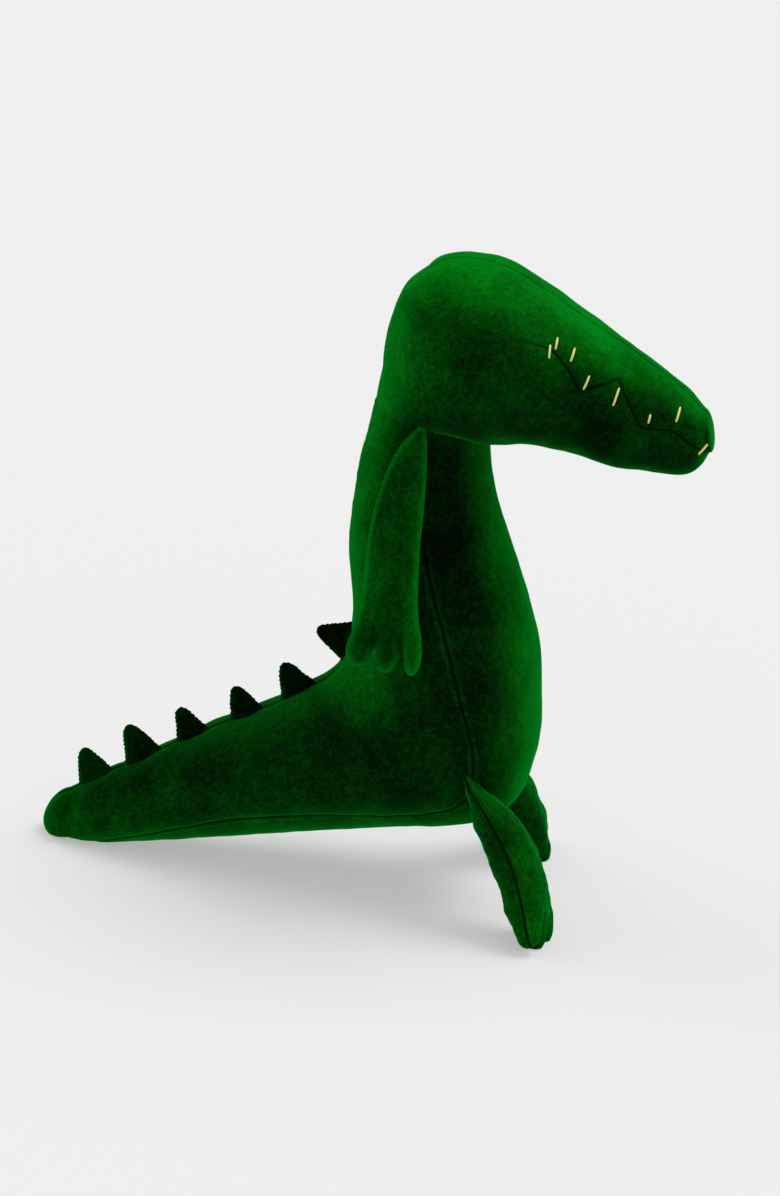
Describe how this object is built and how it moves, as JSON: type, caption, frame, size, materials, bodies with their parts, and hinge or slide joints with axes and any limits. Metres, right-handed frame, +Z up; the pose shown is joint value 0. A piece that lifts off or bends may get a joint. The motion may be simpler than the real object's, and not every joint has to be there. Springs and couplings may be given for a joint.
{
  "type": "stuffed crocodile toy",
  "caption": "Soft standing crocodile of green short-pile fabric, with a long snout, stitched teeth, hanging arms, short legs and a spiked tail that props it up.",
  "frame": {"origin": "on the floor, under the middle of the bounding box, with the toy standing on its toes and tail tip", "axes": "+X towards the snout, +Y towards the toy's left, +Z up"},
  "size_m": [0.3804, 0.2152, 0.412],
  "materials": {
    "green_pile": "matte",
    "fibre_filling": "matte",
    "cream_floss": "satin"
  },
  "bodies": {
    "torso": {"belly_panel": "green_pile", "back_panel_left": "green_pile", "back_panel_right": "green_pile", "torso_stuffing": "fibre_filling", "back_spike": "green_pile"},
    "head": {"nape_left": "green_pile", "nape_right": "green_pile", "crown_left": "green_pile", "crown_right": "green_pile", "jaw_left": "green_pile", "jaw_right": "green_pile", "head_stuffing": "fibre_filling", "tooth_stitch_left_1": "cream_floss", "tooth_stitch_left_2": "cream_floss", "tooth_stitch_left_3": "cream_floss", "tooth_stitch_left_4": "cream_floss", "tooth_stitch_left_5": "cream_floss", "tooth_stitch_left_6": "cream_floss", "tooth_stitch_left_7": "cream_floss", "tooth_stitch_left_8": "cream_floss", "tooth_stitch_right_1": "cream_floss", "tooth_stitch_right_2": "cream_floss", "tooth_stitch_right_3": "cream_floss", "tooth_stitch_right_4": "cream_floss", "tooth_stitch_right_5": "cream_floss", "tooth_stitch_right_6": "cream_floss", "tooth_stitch_right_7": "cream_floss", "tooth_stitch_right_8": "cream_floss"},
    "tail": {"tail_panel_left": "green_pile", "tail_panel_right": "green_pile", "tail_underside_panel": "green_pile", "tail_stuffing": "fibre_filling", "tail_spike_1": "green_pile", "tail_spike_2": "green_pile", "tail_spike_3": "green_pile", "tail_spike_4": "green_pile", "tail_spike_5": "green_pile"},
    "arm_left_tab": {"arm_left_root": "green_pile"},
    "arm_left": {"arm_left_front_panel": "green_pile", "arm_left_back_panel": "green_pile", "arm_left_stuffing": "fibre_filling"},
    "arm_right_tab": {"arm_right_root": "green_pile"},
    "arm_right": {"arm_right_front_panel": "green_pile", "arm_right_back_panel": "green_pile", "arm_right_stuffing": "fibre_filling"},
    "leg_left": {"leg_left_front_panel": "green_pile", "leg_left_back_panel": "green_pile", "leg_left_stuffing": "fibre_filling"},
    "leg_right": {"leg_right_front_panel": "green_pile", "leg_right_back_panel": "green_pile", "leg_right_stuffing": "fibre_filling"}
  },
  "joints": [
    {"name": "head_nod", "type": "hinge", "parent": "torso", "child": "head", "pos_m": [0.014, 0, 0.304], "axis": [0, 1, 0], "range_deg": [-25, 12], "stiffness_Nm_per_rad": 3},
    {"name": "tail_wag", "type": "hinge", "parent": "torso", "child": "tail", "pos_m": [-0.017, 0, 0.078], "axis": [0, 0, 1], "range_deg": [-20, 20], "stiffness_Nm_per_rad": 1.5},
    {"name": "arm_left_swing", "type": "hinge", "parent": "torso", "child": "arm_left_tab", "pos_m": [0.009, 0.041, 0.302], "axis": [0, 1, 0], "range_deg": [-60, 25]},
    {"name": "arm_left_lift", "type": "hinge", "parent": "arm_left_tab", "child": "arm_left", "pos_m": [0.009, 0.0435, 0.299], "axis": [1, 0, 0], "range_deg": [0, 70]},
    {"name": "arm_right_swing", "type": "hinge", "parent": "torso", "child": "arm_right_tab", "pos_m": [0.009, -0.041, 0.302], "axis": [0, 1, 0], "range_deg": [-60, 25]},
    {"name": "arm_right_lift", "type": "hinge", "parent": "arm_right_tab", "child": "arm_right", "pos_m": [0.009, -0.0435, 0.299], "axis": [1, 0, 0], "range_deg": [-70, 0]},
    {"name": "leg_left_swing", "type": "hinge", "parent": "torso", "child": "leg_left", "pos_m": [0.069, 0.046, 0.08], "axis": [0, 1, 0], "range_deg": [-20, 20], "stiffness_Nm_per_rad": 3},
    {"name": "leg_right_swing", "type": "hinge", "parent": "torso", "child": "leg_right", "pos_m": [0.069, -0.046, 0.08], "axis": [0, 1, 0], "range_deg": [-20, 20], "stiffness_Nm_per_rad": 3}
  ]
}
